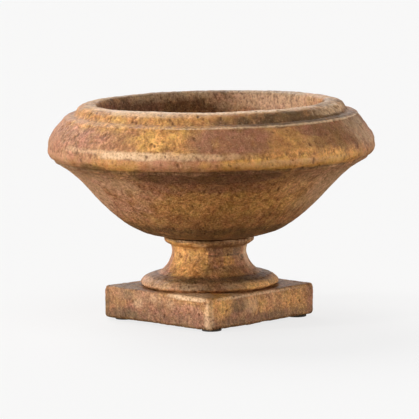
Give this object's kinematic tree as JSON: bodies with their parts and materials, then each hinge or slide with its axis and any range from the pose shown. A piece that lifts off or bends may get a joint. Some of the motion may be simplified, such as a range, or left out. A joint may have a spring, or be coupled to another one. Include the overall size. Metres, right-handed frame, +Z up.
{
  "type": "garden urn",
  "caption": "Low cast-stone garden bowl urn with a moulded overhanging rim, a waisted round stem and a square plinth, tied together by a hollow drain tube.",
  "frame": {"origin": "on the ground plane, at the centre of the four pads under the plinth", "axes": "+Z up along the urn's axis; X and Y parallel to the sides of the square plinth"},
  "size_m": [0.6, 0.6, 0.4],
  "materials": {
    "cast_stone": "sealed rust and ochre patina over pitted cast stone, satin",
    "bedding_mortar": "matt, fine sand",
    "brass": "dull, weathered",
    "galvanised_steel": "zinc coated, satin",
    "rubber": "matt black"
  },
  "bodies": {
    "root": {"bowl": "cast_stone", "stem": "cast_stone", "plinth": "cast_stone", "bowl_bedding": "bedding_mortar", "stem_bedding": "bedding_mortar", "drain_tube": "brass", "tie_nut": "brass", "clamp_plate": "galvanised_steel", "flange_gasket": "rubber", "clamp_gasket": "rubber", "levelling_pad_1": "rubber", "levelling_pad_2": "rubber", "levelling_pad_3": "rubber", "levelling_pad_4": "rubber"}
  },
  "joints": []
}
